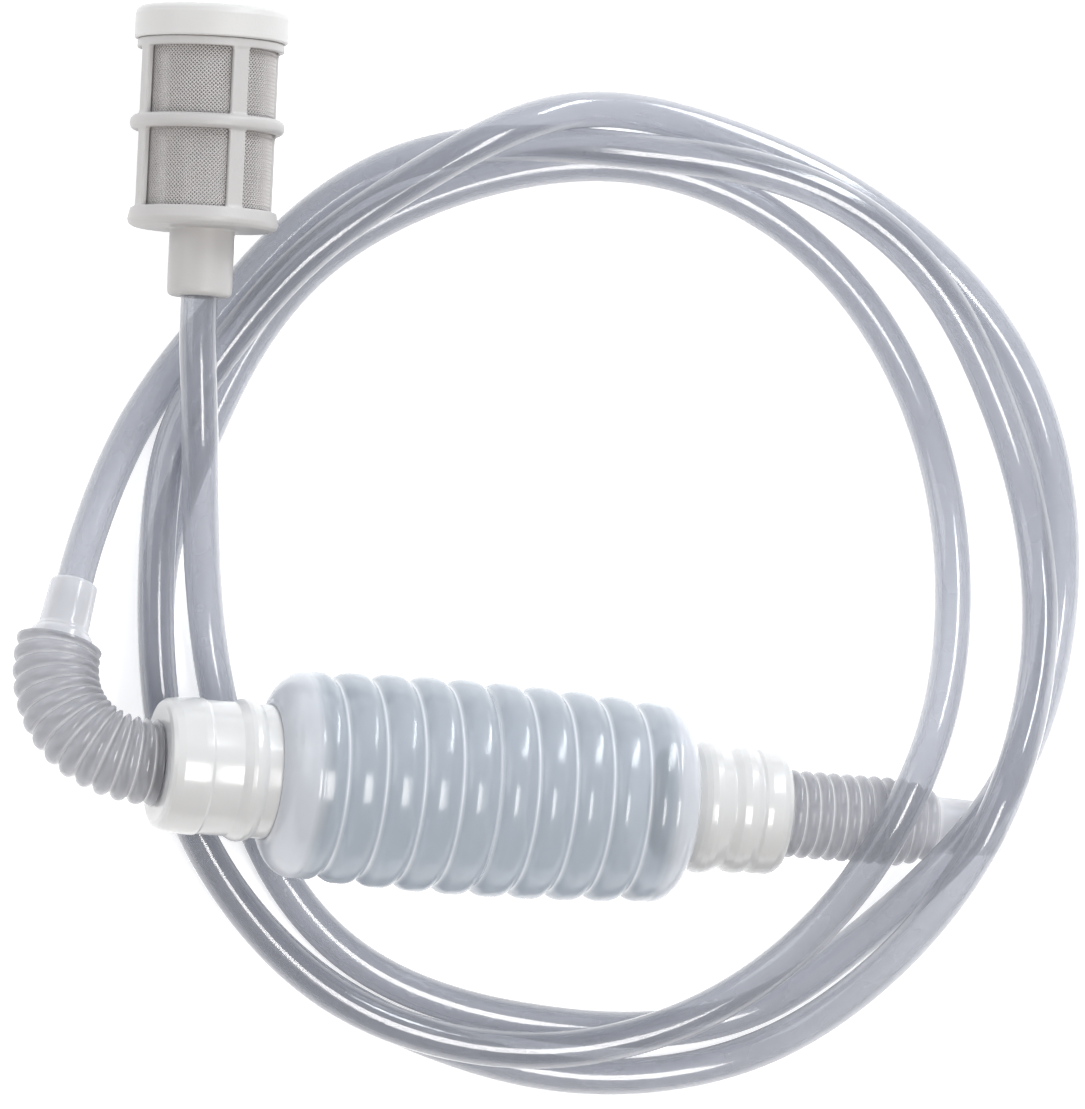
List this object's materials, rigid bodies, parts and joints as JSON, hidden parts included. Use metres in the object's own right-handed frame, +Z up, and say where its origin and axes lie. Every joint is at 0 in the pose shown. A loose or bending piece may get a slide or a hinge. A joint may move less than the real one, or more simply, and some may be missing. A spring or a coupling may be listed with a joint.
{
  "type": "gravel vacuum siphon",
  "caption": "Hand-pumped aquarium siphon: coiled clear hose, mesh strainer, translucent bellows pump with ball check valves, corrugated inlet elbow and open outlet hose.",
  "frame": {"origin": "on the table the set lies on, under the middle of its bounding box", "axes": "+X along the pump from inlet to outlet as seen from above, +Y towards the strainer's side, +Z up from the table"},
  "size_m": [0.2927, 0.2852, 0.0647],
  "materials": {
    "clear_hose": "clear flexible PVC, slightly blue, glossy",
    "flex_hose": "soft grey translucent corrugated PVC, satin gloss",
    "bellows": "translucent frosted blue-grey blow-moulded PE, satin gloss",
    "coupling": "milky white moulded plastic, soft gloss",
    "strainer": "off-white moulded polypropylene, satin",
    "mesh": "fine woven nylon mesh, grey-beige",
    "valve": "white moulded polypropylene",
    "ball": "pale grey polypropylene, smooth",
    "seal": "soft black rubber"
  },
  "bodies": {
    "hose_set": {"inlet_tube": "clear_hose", "inlet_flex_hose": "flex_hose", "bellows": "bellows", "outlet_flex_hose": "flex_hose"},
    "inlet_end": {"inlet_coupling": "coupling", "inlet_seal": "seal", "inlet_valve_seat": "valve", "inlet_ball_cage": "valve"},
    "inlet_ball": {"inlet_valve_ball": "ball"},
    "outlet_end": {"outlet_coupling": "coupling", "outlet_seal": "seal", "outlet_valve_seat": "valve", "outlet_ball_cage": "valve"},
    "outlet_ball": {"outlet_valve_ball": "ball"},
    "strainer": {"strainer_cage": "strainer", "strainer_mesh": "mesh"},
    "strainer_lid": {"strainer_cap": "strainer"}
  },
  "joints": [
    {"name": "inlet_squeeze", "type": "slide", "parent": "hose_set", "child": "inlet_end", "axis": [0.9962, 0, -0.0872], "range_m": [0, 0.015], "deforming": ["bellows", "inlet_flex_hose"]},
    {"name": "outlet_squeeze", "type": "slide", "parent": "hose_set", "child": "outlet_end", "axis": [-0.9962, 0, 0.0872], "range_m": [0, 0.015], "deforming": ["bellows", "outlet_flex_hose"]},
    {"name": "inlet_valve_lift", "type": "slide", "parent": "inlet_end", "child": "inlet_ball", "axis": [0.9962, 0, -0.0872], "range_m": [0, 0.0035]},
    {"name": "outlet_valve_lift", "type": "slide", "parent": "outlet_end", "child": "outlet_ball", "axis": [0.9962, 0, -0.0872], "range_m": [0, 0.0035]},
    {"name": "strainer_twist", "type": "hinge", "parent": "hose_set", "child": "strainer", "pos_m": [-0.1037, 0.0633, 0.0263], "axis": [-0.0235, 0.9973, -0.0698], "continuous": true},
    {"name": "strainer_cap_pull", "type": "slide", "parent": "strainer", "child": "strainer_lid", "axis": [-0.0235, 0.9973, -0.0698], "range_m": [0, 0.025]}
  ],
  "couplings": [
    {"joint": "outlet_squeeze", "follows": "inlet_squeeze", "ratio": 1}
  ]
}
